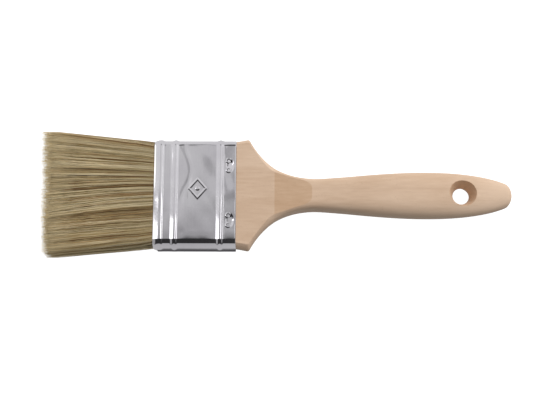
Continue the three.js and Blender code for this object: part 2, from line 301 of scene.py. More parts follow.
def planing_cutter(side):
    """Block above one broad face: level over the head, then sloping up off the neck."""
    rear = FERRULE_LENGTH
    low = HEAD_HALF_THICKNESS
    high = CUTTER_HEIGHT
    crease = rear + PLANED_LENGTH
    outline = [
        (rear - 5, low), (crease, low), (crease + (high - low) / FACET_SLOPE, high),
        (rear - 5, high),
    ]
    points = [(x, y, side * z) for y in (-50, 50) for x, z in outline]
    faces = [(0, 1, 2, 3), (7, 6, 5, 4)]
    faces += [(k, k + 4, (k + 1) % 4 + 4, (k + 1) % 4) for k in range(4)]
    if side < 0:
        faces = [tuple(reversed(f)) for f in faces]
    return make_object("planing", points, faces, False)


def hole_radius(z):
    factor, power = HOLE_FLARE
    return HOLE_WAIST + factor * np.abs(z - HOLE_WAIST_HEIGHT) ** power


def hole_cutter():
    z = HOLE_WAIST_HEIGHT + np.linspace(*HOLE_CUTTER_REACH, 33)
    radius = hole_radius(z)
    angle = np.linspace(0, 2 * math.pi, 96, endpoint=False)
    x = FERRULE_LENGTH + HOLE_PLACE + radius[:, None] * np.cos(angle)
    y = radius[:, None] * np.sin(angle)
    rings = np.stack([x, y, np.broadcast_to(z[:, None], x.shape)], axis=-1)
    return loft("hole", rings)


def mark_crisp_edges(mesh, angle):
    """Edges that turn by more than the angle, in degrees, are shaded as creases."""
    mesh.polygons.foreach_set("use_smooth", [True] * len(mesh.polygons))
    mesh.set_sharp_from_angle(angle=math.radians(angle))


def mark_cut_faces(mesh):
    """Gives the second material, a copy of the beech painted darker, to the sloping facets and
    the wall of the hanging hole: painted shade on the facets, and painted shade over darker end
    grain in the hole.
    """
    tilt = FACET_SLOPE / math.hypot(1, FACET_SLOPE)
    for polygon in mesh.polygons:
        n = polygon.normal
        x = polygon.center.x / MM - LIP_X - FERRULE_LENGTH
        y = polygon.center.y / MM
        z = polygon.center.z / MM - MIDDLE_Z
        on_facet = abs(abs(n.x) - tilt) < 0.003 and abs(n.y) < 0.002 and x > 0
        away = math.hypot(x - HOLE_PLACE, y)
        in_hole = away < hole_radius(z) + 0.1
        polygon.material_index = 1 if on_facet or in_hole else 0


def build_handle():
    plan = evenly(path_points(HANDLE_PLAN), WOOD_STEP)
    side = path_points(HANDLE_SIDE)
    rings = []
    for x, half_width in plan:
        power = np.interp(x, SECTION_PLACES, SECTION_EXPONENTS)
        half_thickness = np.interp(x, side[:, 0], side[:, 1])
        y, z = superellipse(half_width, half_thickness, power, power, WOOD_CORNERS)
        rings.append(ring_at(FERRULE_LENGTH + x, y, z))
    wood = loft("brush_handle", rings)
    for cutter in (planing_cutter(1), planing_cutter(-1), hole_cutter()):
        cut_away(wood, cutter)
    mark_crisp_edges(wood.data, WOOD_CREASE)

    inner_width = FERRULE_HALF_WIDTH - FERRULE_WALL - TENON_GAP
    inner_thickness = FERRULE_HALF_THICKNESS - FERRULE_WALL - TENON_GAP
    y, z = band_section(inner_width, inner_thickness)
    tenon = loft("tenon", [ring_at(x, y[:-1], z[:-1]) for x in (
        FERRULE_LENGTH - TENON_LENGTH, FERRULE_LENGTH - 0.6)])
    mark_crisp_edges(tenon.data, TENON_CREASE)
    join([wood, tenon])
    mark_cut_faces(wood.data)
    return wood


def join(objects):
    with bpy.context.temp_override(
        active_object=objects[0], selected_objects=objects, selected_editable_objects=objects
    ):
        bpy.ops.object.join()


# ---- ferrule ------------------------------------------------------------------------------


def band_profile(half_width, half_thickness, bends=FERRULE_BENDS):
    """One quarter of the ferrule's section, from the middle of the front face to the side."""
    angle, radius = [0.0], []
    for bend_radius, reached in bends:
        angle += list(np.linspace(angle[-1], math.radians(reached), 40)[1:])
        radius += [bend_radius] * 39
    middle = (np.array(angle[1:]) + np.array(angle[:-1])) / 2
    step = np.diff(angle) * np.array(radius)
    y = np.concatenate([[0], np.cumsum(step * np.cos(middle))])
    z = np.concatenate([[0], np.cumsum(-step * np.sin(middle))])
    z = half_thickness + z * half_thickness / -z[-1]
    y = y + half_width - y[-1]
    return np.concatenate([[0], y]), np.concatenate([[half_thickness], z])


def band_section(half_width, half_thickness):
    """The whole section as a closed line, from +Y over the front face to -Y and back below."""
    y, z = band_profile(half_width, half_thickness)
    top_y = np.concatenate([y[::-1], -y[1:]])
    top_z = np.concatenate([z[::-1], z[1:]])
    return np.concatenate([top_y, -top_y[1:]]), np.concatenate([top_z, -top_z[1:]])


def section_line(front_marks, back_marks):
    """Points of the ferrule's section and its outward normals, closest at the marks.

    Marks are (from, to) distances along a face from its middle, in the direction of travel.
    """
    y, z = band_section(FERRULE_HALF_WIDTH, FERRULE_HALF_THICKNESS)
    length = np.concatenate([[0], np.cumsum(np.hypot(np.diff(y), np.diff(z)))])
    half = length[-1] / 2
    around = []
    for face, marks in enumerate((front_marks, back_marks)):
        places = [(half / 2 + a, half / 2 + b) for a, b in marks]
        around.append(face * half + spread(places, *PLATE_GRID, 0, half)[:-1])
    around = np.concatenate(around)

    def at(distance):
        wrapped = distance % length[-1]
        return np.interp(wrapped, length, y), np.interp(wrapped, length, z)

    py, pz = at(around)
    ahead, behind = at(around + 0.15), at(around - 0.15)
    dy, dz = ahead[0] - behind[0], ahead[1] - behind[1]
    size = np.hypot(dy, dz)
    return py, pz, dz / size, -dy / size


def bead_rise(x):
    """Rolled beads across the plate. The first one starts at the lip itself."""
    rise = np.zeros_like(x)
    for place in BEADS:
        before = place if place == BEADS[0] else BEAD_HALF_WIDTH
        t = np.where(x < place, (x - place) / before, (x - place) / BEAD_HALF_WIDTH)
        swell = np.cos(math.pi / 2 * np.clip(t, -1, 1))
        rise += BEAD_HEIGHT * swell * (0.8 + 0.2 * swell)
    return rise


def dents(x, y):
    """Slow unevenness of thin pressed plate, a few hundredths of a millimetre."""
    rise = 0.030 * np.sin(x * 0.31 + 0.8) * np.sin(y * 0.13 + 0.4)
    rise += 0.018 * np.sin(x * 0.17 - y * 0.22 + 2.1)
    rise += 0.010 * np.sin(x * 0.55 + y * 0.37)
    rise += 0.030 * np.sin(y * 0.52 + 1.0) * smooth((x - 37) / 1.5)
    # a crease beside the second bead, and a few shallow knocks
    valley = 17.2 - 2.2 * np.cos(y * 0.19 + 0.9) + 0.04 * y
    across_crease = (x - valley) / CREASE_HALF_WIDTH
    rise -= CREASE_DEPTH * np.exp(-across_crease ** 2) * smooth((y + 9) / 5)
    rise -= 0.05 * np.exp(-((x - 19.0) / 1.2) ** 2 - ((y - 1.5) / 5.5) ** 2)
    # between the beads the plate falls away a little before it turns to the sides
    for start, end, fall in PILLOWS:
        across = np.sin(math.pi * np.clip((x - start) / (end - start), 0, 1)) ** 0.8
        edge = np.clip((np.abs(y) - PILLOW_START) / 5, 0, 2)
        rise -= fall * across * edge ** 2
    for place, offset, size, depth in DENTS:
        away = np.hypot(x - place, y - offset) / size
        rise -= depth * np.exp(-away ** 2)
    return rise


def stamp_rise(x, y):
    """Raised lozenge ring with a dot in its middle."""
    dx, dy = x - STAMP[0], y - STAMP[1]
    across = np.abs(dx) / STAMP_HALF_LENGTH + np.abs(dy) / STAMP_HALF_WIDTH
    scale = STAMP_HALF_LENGTH * STAMP_HALF_WIDTH / math.hypot(
        STAMP_HALF_LENGTH, STAMP_HALF_WIDTH)
    from_line = np.abs((1 - across) * scale - STAMP_LINE / 2)
    ring = smooth(1 - from_line / (STAMP_LINE * 0.75))
    dot = smooth(1.6 - np.hypot(dx, dy) / (STAMP_LINE * 0.8))
    return STAMP_HEIGHT * np.maximum(ring, dot)


def from_prongs(x, y):
    """Distance from the nearest pierced point, in prong radii."""
    nearest = np.full_like(x, 100.0)
    for centre in (-STAKE_SPACING, STAKE_SPACING):
        for offset in (-PRONG_SPACING, PRONG_SPACING):
            away = np.hypot(x - STAKE_PLACE + STAKE_HALF_LENGTH / 3, y - centre - offset)
            nearest = np.minimum(nearest, away / PRONG_RADIUS)
    return nearest


def stake_rise(x, y):
    """Punched dishes, each with two pierced points that have a small burr round them."""
    rise = np.zeros_like(x)
    for centre in (-STAKE_SPACING, STAKE_SPACING):
        u = (x - STAKE_PLACE) / STAKE_HALF_LENGTH
        v = (y - centre) / STAKE_HALF_WIDTH
        rise -= STAKE_DEPTH * smooth(1.15 * (1 - np.hypot(u, v)))
    away = from_prongs(x, y)
    rise -= PRONG_DEPTH * smooth(1.4 - away)
    rise += BURR_HEIGHT * np.exp(-((away - BURR_PLACE) / BURR_WIDTH) ** 2)
    return rise


def build_ferrule():
    reach = STAKE_HALF_WIDTH + STAKE_MARGIN
    stake_marks = [(-STAKE_SPACING - reach, -STAKE_SPACING + reach),
                   (STAKE_SPACING - reach, STAKE_SPACING + reach)]
    stamp_mark = (-STAMP[1] - STAMP_HALF_WIDTH, -STAMP[1] + STAMP_HALF_WIDTH)
    y, z, ny, nz = section_line(stake_marks + [stamp_mark], stake_marks)
    fine = [(STAKE_PLACE - 2.6, STAKE_PLACE + 2.8),
            (STAMP[0] - STAMP_HALF_LENGTH, STAMP[0] + STAMP_HALF_LENGTH)]
    x = spread(fine, *PLATE_GRID_ALONG, 0, FERRULE_LENGTH)
    # the rims turn in a little, over less than a millimetre
    near_rim = np.array(RIM_STEPS)
    x = np.unique(np.concatenate([near_rim, x[x > RIM_END], FERRULE_LENGTH - near_rim]))
    x = x[(x > FERRULE_LENGTH - RIM_STEPS[-1] - 0.01) | (x < FERRULE_LENGTH - RIM_END)]

    gx, gy = np.meshgrid(x, y, indexing="ij")
    gz = np.broadcast_to(z, gx.shape)
    gny = np.broadcast_to(ny, gx.shape)
    gnz = np.broadcast_to(nz, gx.shape)
    flatness = smooth((np.abs(gnz) - 0.9) * 10)
    rise = bead_rise(gx)
    rise = rise + dents(gx, gy) * flatness
    rise = rise + stake_rise(gx, gy) * flatness
    rise = rise + stamp_rise(gx, gy) * flatness * (gz > 0)
    # folded lock seam along the lower narrow side
    from_fold = np.abs(gz - SEAM_CENTRE) - SEAM_HALF_WIDTH
    on_seam = smooth(0.5 - from_fold / SEAM_FOLD) * (gy < 0)
    along = smooth((gx - SEAM_START) / 0.6)
    # painted shade: the plate is darkened in the fold of the seam and round the pierced points,
    # stored as the shadow attribute
    shadow = np.exp(-(from_fold / SEAM_SHADOW) ** 4) * (gy < 0) * along
    shadow = np.maximum(shadow, np.exp(-(from_prongs(gx, gy) / 1.15) ** 4) * flatness)
    rise = rise + np.maximum(SEAM_HEIGHT - rise, 0) * on_seam * along * 0.9
    # the plate draws in at the lip, and both rims are rolled under
    rise = rise - LIP_DROP * np.clip(1 - gx / LIP_DROP_LENGTH, 0, 1) ** 2
    roll = np.minimum(gx / LIP_ROLL_LENGTH, (FERRULE_LENGTH - gx) / REAR_ROLL_LENGTH)
    roll = np.clip(roll, 0, 1)
    rise = rise - RIM_ROLL * (1 - np.sqrt(1 - (1 - roll) ** 2))

    outer = np.stack([gx, gy + gny * rise, gz + gnz * rise], axis=-1)
    rows, columns = gx.shape
    ends = np.array([0, 1.2, FERRULE_LENGTH - 0.6, FERRULE_LENGTH])
    ix, iy = np.meshgrid(ends, y, indexing="ij")
    iz = np.broadcast_to(z, ix.shape)
    wall = np.array([0.3 + LIP_DROP, 0.03, 0, 0.3])[:, None] + FERRULE_WALL
    inner = np.stack([ix, iy - ny * wall, iz - nz * wall], axis=-1)

    points = np.concatenate([outer.reshape(-1, 3), inner.reshape(-1, 3)])
    first = rows * columns
    faces = [grid_faces(rows, columns), grid_faces(4, columns, first=first)[:, ::-1]]
    c = np.arange(columns)
    beside = (c + 1) % columns
    faces.append(np.stack([c, first + c, first + beside, beside], axis=1))
    last = (rows - 1) * columns
    inner_last = first + 3 * columns
    faces.append(np.stack(
        [last + c, last + beside, inner_last + beside, inner_last + c], axis=1))
    made = make_object("brush_ferrule", points, np.concatenate(faces).tolist())
    shadow = np.concatenate([shadow.ravel(), np.zeros(inner[..., 0].size)])
    add_values(made.data, "shadow", shadow)
    return made


# ---- bristles -----------------------------------------------------------------------------


def tuft_form(reach):
    width = np.interp(reach, TUFT_REACH, TUFT_HALF_WIDTH)
    thickness = np.interp(reach, TUFT_REACH, TUFT_HALF_THICKNESS)
    return width, thickness


def bank_heights(reach, low, high):
    """Lower and upper height of a bank at a distance in front of the lip.

    low and high are (at the root, as a share of the half thickness at the tip)."""
    thickness = tuft_form(reach)[1]
    t = smooth(reach / BANK_OPENING)
    bottom = low[0] * (1 - t) + low[1] * thickness * t
    top = high[0] * (1 - t) + high[1] * thickness * t
    return bottom, top


def edge_rounding(height, share):
    """Share of the width left at a height, so that the narrow sides of the tuft are round."""
    loss, regained = ROUNDING
    return 1 - (loss - regained * share) * np.clip(np.abs(height), 0, 1) ** 2


def combed(share, across):
    """How far the hairs in the middle are swept sideways, growing along their length."""
    return COMB_SWEEP * share ** 1.3 * np.exp(-((across + 0.02) / 0.5) ** 2)


def hair_paths(count, low, high, crowd_top, crowd_bottom):
    """Middle lines of the hairs, the share of the length at each point, and their shades.

    crowd_top and crowd_bottom are the shares of the hairs that lie near a bank's face.
    """
    across = random.uniform(-1, 1, count)
    deep = random.uniform(0, 1, count)
    pick = random.uniform(0, 1, count)
    deep = np.where(pick < crowd_top, 1 - 0.2 * deep ** 1.3, deep)
    deep = np.where(pick > 1 - crowd_bottom, 0.2 * deep ** 1.3, deep)

    # clumps draw together towards their tips and part from their neighbours
    clumps = max(count // CLUMP_HAIRS, 1)
    clump_across = random.uniform(-1, 1, clumps)
    clump_deep = random.uniform(0, 1, clumps)
    cost = (across[:, None] - clump_across) ** 2 * 33 ** 2
    cost += (deep[:, None] - clump_deep) ** 2 * 4 ** 2
    own = cost.argmin(1)

    length = BRISTLE_LENGTH + TRIM_PAST - random.gamma(3.0, 1.1, count)
    length += TRIM_SLANT * across
    length -= random.uniform(0, 1, count) ** 8 * 7
    length = np.clip(length, *TRIM_LIMITS)
    t = np.linspace(0, 1, HAIR_RINGS) ** 0.85
    reach = HAIR_START + (length[:, None] - HAIR_START) * t
    share = np.clip(reach / BRISTLE_LENGTH, 0, 1)

    drawn = CLUMP_DRAW * smooth(share * 1.8) * (1 - 0.92 * smooth((share - 0.6) / 0.36))
    sideways = (clump_across[own] - across) * (1 - np.abs(across) ** 12)
    a = across[:, None] + sideways[:, None] * drawn
    d = deep[:, None] + (clump_deep[own] - deep)[:, None] * drawn * 0.6
    lean = random.normal(0, 0.4, clumps)[own] + random.normal(0, 0.9, count)
    stray = random.uniform(0, 1, count) < STRAY_SHARE
    lean = lean + stray * random.normal(0, STRAY_LEAN, count)
    wave_size = random.normal(0, 0.22, count)
    wave_phase = random.uniform(0, 6.3, count)
    bow = random.normal(0, 0.5, count)

    width, thickness = tuft_form(reach)
    bottom, top = bank_heights(reach, low, high)
    z = bottom + (top - bottom) * d
    from_faces = np.minimum(1, 3 * np.minimum(d, 1 - d))
    z = z + random.normal(0, TIP_WANDER, count)[:, None] * share * from_faces
    fanned = width + 0.5 * share * smooth((a - 0.75) * 4)
    y = a * fanned * edge_rounding(z / thickness, share)
    y = y - combed(share, a)
    inside = 1 - np.abs(a) ** 6
    y = y + (lean[:, None] * share ** 1.5 + bow[:, None] * share * (1 - share)) * inside
    y = y + wave_size[:, None] * np.sin(share * 9 + wave_phase[:, None]) * share * inside
    shade = 0.6 * random.beta(0.5, 0.5, count) + 0.4 * random.beta(0.5, 0.5, clumps)[own]
    # painted light: hairs on the upper side of the tuft are lighter and those on the lower half
    # darker (0.10 * across). Stray hairs are paler as painted glints, and the hairs along the
    # lower narrow side are lightened against the shade there.
    shade = shade + 0.10 * across - 0.035 + 0.15 * stray + 0.3 * smooth((-across - 0.78) * 5)
    shade = np.clip(shade, 0, 1)
    return np.stack([-reach, y, z], axis=-1), share, shade


def build_bank(name, count, low, high, crowd_top, crowd_bottom, core):
    rings = HAIR_RINGS
    path, share, shade = hair_paths(count, low, high, crowd_top, crowd_bottom)
    root_radius = random.uniform(*HAIR_RADIUS, count)[:, None]
    radius = root_radius * np.interp(np.linspace(0, 1, rings), *zip(*HAIR_TAPER))
    turn = random.uniform(0, 2 * math.pi, count)[:, None]
    corners = []
    for k in range(3):
        angle = turn + 2 * math.pi * k / 3
        offset = np.stack([np.zeros_like(radius), radius * np.cos(angle),
                           radius * np.sin(angle)], axis=-1)
        corners.append(path + offset)
    # points by hair, ring, corner
    points = np.stack(corners, axis=2)
    faces = grid_faces(rings, 3)[:, ::-1]
    starts = np.arange(count)[:, None, None] * rings * 3
    faces = (faces[None] + starts).reshape(-1, 4)
    shade = np.repeat(shade, rings * 3)
    along = np.repeat(share, 3, axis=1).reshape(-1)

    hair = make_object(name, points.reshape(-1, 3), faces.tolist())
    add_values(hair.data, "shade", shade)
    add_values(hair.data, "along", along)
    hair_map(hair.data, count, rings)
    filler = build_core(name + "_core", low, high, core)
    join([hair, filler])
    return hair


def add_values(mesh, name, values):
    layer = mesh.attributes.new(name, "FLOAT", "POINT")
    layer.data.foreach_set("value", np.asarray(values, np.float32))


def hair_map(mesh, count, rings):
    """UV cell for every hair, in a square grid with margins."""
    cells = math.ceil(math.sqrt(count + 1))
    per_hair = (rings - 1) * 3
    hair = np.repeat(np.arange(count), per_hair * 4)
    ring, side = np.divmod(np.tile(np.repeat(np.arange(per_hair), 4), count), 3)
    corner = np.tile(np.arange(4), count * per_hair)
    # faces are listed with their points reversed: far, far, near, near
    u = ring + np.isin(corner, (0, 1))
    v = side + np.isin(corner, (1, 2))
    u = (hair % cells + 0.1 + 0.8 * u / (rings - 1)) / cells
    v = (hair // cells + 0.1 + 0.8 * v / 3) / cells
    layer = mesh.uv_layers.new(name="OFBake")
    layer.data.foreach_set("uv", np.stack([u, v], axis=1).astype(np.float32).ravel())


def build_core(name, low, high, inset):
    """Packed hair below the surface of a bank, which runs back to the setting resin."""
    reaches = np.concatenate([np.linspace(-13.8, 0, 4), np.linspace(3, CORE_REACH, 26)])
    rings = []
    for reach in reaches:
        width, thickness = tuft_form(reach)
        bottom, top = bank_heights(reach, low, high)
        if reach > 0:
            bottom, top = bottom + inset[0], top - inset[1]
            width = width - inset[2] - 0.02 * reach
        else:
            bottom, top = bottom + 0.05, top - 0.05
            width = width - 0.1
        bow = 1.6 * smooth((reach - 46) / 10)
        middle, half = (bottom + top) / 2, (top - bottom) / 2
        if half > 0.5:
            half = half - 0.3 * smooth((reach - 48) / 8)
        y, z = superellipse(width - bow, half, 9, 3, CORE_CORNERS)
        share = max(reach / BRISTLE_LENGTH, 0)
        y = y * edge_rounding((middle + z) / thickness, share) - combed(share, y / width)
        rings.append(ring_at(-reach, y, middle + z))
    core = loft(name, rings[::-1])
    count = len(core.data.vertices)
    add_values(core.data, "shade", np.full(count, -1.0))
    x = np.array([v.co.x for v in core.data.vertices]) / MM - LIP_X
    add_values(core.data, "along", np.clip(-x / BRISTLE_LENGTH, 0, 1))
    return core


# ---- materials ----------------------------------------------------------------------------


class Shader:
    """Short way to write a node tree."""

    def __init__(self, name, tree=None):
        if tree is None:
            self.material = bpy.data.materials.new(name)
            self.material.use_nodes = True
            tree = self.material.node_tree
        self.tree = tree
        tree.nodes.clear()

    def node(self, kind, inputs=None, **settings):
        made = self.tree.nodes.new(kind)
        for key, value in settings.items():
            setattr(made, key, value)
        for key, value in (inputs or {}).items():
            self.feed(made.inputs[key], value)
        return made

    def feed(self, socket, value):
        if isinstance(value, bpy.types.NodeSocket):
            self.tree.links.new(value, socket)
        else:
            socket.default_value = value

    def math(self, operation, *values, clamp=False):
        made = self.node("ShaderNodeMath", operation=operation, use_clamp=clamp)
        for socket, value in zip(made.inputs, values):
            self.feed(socket, value)
        return made.outputs[0]

    def ramp(self, value, stops, interpolation="LINEAR"):
        made = self.node("ShaderNodeValToRGB", {0: value})
        made.color_ramp.interpolation = interpolation
        elements = made.color_ramp.elements
        while len(elements) < len(stops):
            elements.new(0.5)
        for element, (place, colour) in zip(elements, stops):
            element.position = place
            if isinstance(colour, (int, float)):
                colour = (colour, colour, colour)
            element.color = (*colour, 1)
        return made.outputs[0]

    def mix(self, factor, a, b, blend="MIX"):
        made = self.node("ShaderNodeMix", data_type="RGBA", blend_type=blend)
        self.feed(made.inputs["Factor"], factor)
        self.feed(made.inputs[6], a if isinstance(a, bpy.types.NodeSocket) else (*a, 1))
        self.feed(made.inputs[7], b if isinstance(b, bpy.types.NodeSocket) else (*b, 1))
        return made.outputs[2]

    def place(self, scale):
        """Object position times a scale for each axis."""
        where = self.node("ShaderNodeTexCoord").outputs["Object"]
        return self.node(
            "ShaderNodeMapping", {"Vector": where, "Scale": scale}).outputs[0]

    def noise(self, vector, scale, detail=3.0, roughness=0.55):
        return self.node("ShaderNodeTexNoise", {
            "Vector": vector, "Scale": scale, "Detail": detail, "Roughness": roughness,
        }).outputs[0]

    def bump(self, height, distance, strength=1.0):
        return self.node("ShaderNodeBump", {
            "Height": height, "Distance": distance, "Strength": strength}).outputs[0]

    def surface(self, shader):
        out = self.node("ShaderNodeOutputMaterial")
        self.tree.links.new(shader.outputs[0], out.inputs["Surface"])
        return self.material


def wood_material(name, dark, light, fleck):
    """Beech along X: slow colour bands, fine fibre, and short dark ray flecks."""
    s = Shader(name)
    fibre = s.noise(s.place((90, 700, 700)), 1.0, 4.0, 0.6)
    bands = s.noise(s.place((14, 80, 60)), 1.0, 3.0)
    drift = s.noise(s.place((14, 22, 22)), 1.0, 2.0)
    tone = s.math("ADD", s.math("MULTIPLY", fibre, 0.30), s.math("MULTIPLY", bands, 0.42))
    tone = s.math("ADD", tone, s.math("MULTIPLY", drift, 0.28))
    colour = s.ramp(tone, [(0.41, dark), (0.59, light)])
    cells = s.node("ShaderNodeTexVoronoi", {
        "Vector": s.place((420, 2300, 2300)), "Scale": 1.0, "Randomness": 1.0})
    flecks = s.ramp(cells.outputs["Distance"], [(0.10, 1.0), (0.24, 0.0)])
    patch = s.ramp(s.noise(s.place((90, 260, 260)), 1.0, 2.0), [(0.45, 0.0), (0.62, 1.0)])
    flecks = s.math("MULTIPLY", s.math("MULTIPLY", flecks, patch), 0.5)
    colour = s.mix(flecks, colour, fleck)
    roughness = s.ramp(fibre, [(0.3, 0.46), (0.7, 0.62)])
    height = s.math("SUBTRACT", fibre, s.math("MULTIPLY", flecks, 0.6))
    body = s.node("ShaderNodeBsdfPrincipled", {
        "Base Color": colour, "Roughness": roughness, "Normal": s.bump(height, 0.00006),
        "Specular IOR Level": 0.35})
    return s.surface(body)


def plate_material():
    """Bright tin plate: faint drawing lines round the band, smudges and a few scratches."""
    s = Shader("tin_plate")
    drawn = s.noise(s.place((1500, 60, 60)), 1.0, 2.0)
    smudge = s.noise(s.place((60, 60, 60)), 1.0, 4.0)
    tone = s.math("ADD", s.math("MULTIPLY", drawn, 0.15), s.math("MULTIPLY", smudge, 0.85))
    colour = s.ramp(tone, [(0.3, (0.665, 0.645, 0.685)), (0.7, (0.76, 0.745, 0.775))])
    # painted shade: the plate is darkened down in the fold of the seam and in the pierced points
    painted_shade = s.node("ShaderNodeAttribute", attribute_name="shadow").outputs["Fac"]
    colour = s.mix(s.math("MULTIPLY", painted_shade, 0.88), colour, (0.02, 0.02, 0.022))
    scratch = s.noise(s.place((300, 2600, 300)), 1.0, 2.0)
    scratch = s.ramp(scratch, [(0.66, 0.0), (0.72, 1.0)])
    rough = s.ramp(smudge, [(0.35, 0.05), (0.7, 0.10)])
    rough = s.math("ADD", rough, s.math("MULTIPLY", scratch, 0.05))
    body = s.node("ShaderNodeBsdfPrincipled", {
        "Base Color": colour, "Metallic": 1.0, "Roughness": rough,
        "Normal": s.bump(smudge, 0.00003)})
    return s.surface(body)


def resin_material():
    s = Shader("amber_resin")
    cloud = s.noise(s.place((220, 220, 220)), 1.0, 4.0)
    colour = s.ramp(cloud, [(0.35, (0.10, 0.045, 0.015)), (0.65, (0.22, 0.11, 0.04))])
    rough = s.ramp(cloud, [(0.3, 0.22), (0.7, 0.42)])
    body = s.node("ShaderNodeBsdfPrincipled", {
        "Base Color": colour, "Roughness": rough, "Normal": s.bump(cloud, 0.0002)})
    return s.surface(body)


def bristle_material():
    """Hog bristle: each hair its own shade, streaked along its length, paler at the flag."""
    s = Shader("hog_bristle")
    shade = s.node("ShaderNodeAttribute", attribute_name="shade").outputs["Fac"]
    along = s.node("ShaderNodeAttribute", attribute_name="along").outputs["Fac"]
    streak = s.noise(s.place((45, 1500, 1500)), 1.0, 3.0)
    tone = s.math("ADD", s.math("MULTIPLY", shade, 0.85), s.math("MULTIPLY", streak, 0.25))
    tone = s.math("SUBTRACT", tone, 0.045)
    colour = s.ramp(tone, [
        (0.14, (0.17, 0.09, 0.03)), (0.30, (0.34, 0.23, 0.095)),
        (0.5, (0.58, 0.455, 0.235)), (0.84, (0.93, 0.80, 0.53))])
    # a few hairs are rusty brown
    rusty = s.ramp(s.math("FRACT", s.math("MULTIPLY", shade, 37.0)), [(0.87, 0.0), (0.89, 1.0)])
    colour = s.mix(s.math("MULTIPLY", rusty, 0.7), colour, (0.50, 0.28, 0.10))
    near_root = s.ramp(along, [(0.0, 0.80), (0.55, 1.0)])
    colour = s.mix(1.0, colour, near_root, "MULTIPLY")
    tip = s.ramp(along, [(0.70, 0.0), (0.92, 0.5), (0.97, 1.0)])
    colour = s.mix(s.math("MULTIPLY", tip, 0.85), colour, (1.0, 0.84, 0.51))
    # painted shade: the core below the hairs is coloured dark brown so that the gaps between
    # hairs look shaded, fading to the tips' colour
    core = s.ramp(streak, [(0.35, (0.05, 0.034, 0.014)), (0.7, (0.22, 0.16, 0.075))])
    core = s.mix(s.math("MULTIPLY", tip, 0.8), core, (0.80, 0.64, 0.38))
    is_core = s.math("LESS_THAN", shade, -0.5)
    colour = s.mix(is_core, colour, core)
    rough = s.ramp(streak, [(0.3, 0.42), (0.7, 0.6)])
    body = s.node("ShaderNodeBsdfPrincipled", {
        "Base Color": colour, "Roughness": rough, "Normal": s.bump(streak, 0.00004),
        "Specular IOR Level": 0.4})
    return s.surface(body)


def floor_material():
    """White studio table, lit from below as well as above, so that shadows stay faint."""
    s = Shader("studio_table")
    grain = s.noise(s.place((40, 40, 40)), 1.0, 3.0)
    colour = s.ramp(grain, [(0.3, 0.40), (0.7, 0.43)])
    matt = s.node("ShaderNodeBsdfDiffuse", {"Color": colour})
    glow = s.node("ShaderNodeEmission", {"Color": (1, 1, 1, 1), "Strength": 0.98})
    both = s.node("ShaderNodeAddShader")
    s.tree.links.new(matt.outputs[0], both.inputs[0])
    s.tree.links.new(glow.outputs[0], both.inputs[1])
    return s.surface(both)


def dress(target, *materials):
    index = np.zeros(len(target.data.polygons), np.int32)
    target.data.polygons.foreach_get("material_index", index)
    target.data.materials.clear()
    for material in materials:
        target.data.materials.append(material)
    index = np.minimum(index, len(materials) - 1)
    target.data.polygons.foreach_set("material_index", index)


# ---- pieces on the frame ------------------------------------------------------------------

beech = wood_material("beech", (0.65, 0.455, 0.313), (0.76, 0.562, 0.41), (0.42, 0.26, 0.15))
# a darker copy of the beech: painted shade on the sloping facets, and painted shade over darker
# end grain on the wall of the hole
beech_with_painted_shade = wood_material(
    "beech_with_painted_shade", (0.595, 0.39, 0.245), (0.71, 0.495, 0.332), (0.38, 0.22, 0.12))
bristle = bristle_material()

handle = build_handle()
dress(handle, beech, beech_with_painted_shade)
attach(handle, "handle_body")
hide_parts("handle")

ferrule = build_ferrule()
dress(ferrule, plate_material())
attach(ferrule, "handle_body")
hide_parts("ferrule")

FLEX_START = to_metres((0, 0, 0))  # the hairs pass from the handle to the tuft between these
FLEX_END = to_metres((-22, 0, 0))
# low and high: the bank's lower and upper height at the root, and at the tip as a share of the
# tuft's half thickness. core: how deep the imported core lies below, above and at the sides.
BANKS = {
    "front": dict(count=3700, low=(2.95, 0.32), high=(5.0, 1.0), crowd_top=0.45,
                  crowd_bottom=0.0, core=(0.1, 0.55, 0.7)),
    "middle": dict(count=1500, low=(-1.0, -0.28), high=(1.0, 0.28), crowd_top=0.0,
                   crowd_bottom=0.0, core=(0.1, 0.1, 0.7)),
    "back": dict(count=3700, low=(-5.0, -1.0), high=(-2.95, -0.32), crowd_top=0.0,
                 crowd_bottom=0.45, core=(0.55, 0.1, 0.7)),
}
for bank, recipe in BANKS.items():
    hair = build_bank("bristle_bank_" + bank, **recipe)
    dress(hair, bristle)
    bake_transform(hair)
    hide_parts("bristles_" + bank, "bristle_roots_" + bank)

dress(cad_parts["setting_resin"], resin_material())
plug_wood = wood_material("plug_wood", (0.42, 0.29, 0.18), (0.60, 0.45, 0.31), (0.25, 0.15, 0.09))
for node in ("spacer_plug_front", "spacer_plug_back"):
    dress(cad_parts[node], plug_wood)

# ---- table, light and camera --------------------------------------------------------------

floor_mesh = bpy.data.meshes.new("table")
floor_mesh.from_pydata(
    [(-3, -3, 0), (3, -3, 0), (3, 3, 0), (-3, 3, 0)], [], [(0, 1, 2, 3)])
floor = bpy.data.objects.new("table", floor_mesh)
scene.collection.objects.link(floor)
floor.location.z = -0.0002  # just clear of the handle
floor.visible_glossy = False
floor.visible_diffuse = False
dress(floor, floor_material())


def panel(name, place, target, size, strength):
    light = bpy.data.lights.new(name, "AREA")
    light.shape = "RECTANGLE"
    light.size, light.size_y = size
    light.energy = strength * size[0] * size[1] * math.pi
    made = bpy.data.objects.new(name, light)
    made.location = place
    made.rotation_mode = "QUATERNION"
    made.rotation_quaternion = (Vector(target) - Vector(place)).to_track_quat("-Z", "Y")
    scene.collection.objects.link(made)
    return made


KEY_PLACE = (0.63, 0.57, 0.83)
KEY_SIZE = (0.6, 0.6)
KEY_STRENGTH = 5.6
key = panel("key", KEY_PLACE, (0, 0, 0), KEY_SIZE, KEY_STRENGTH)
key.visible_glossy = False

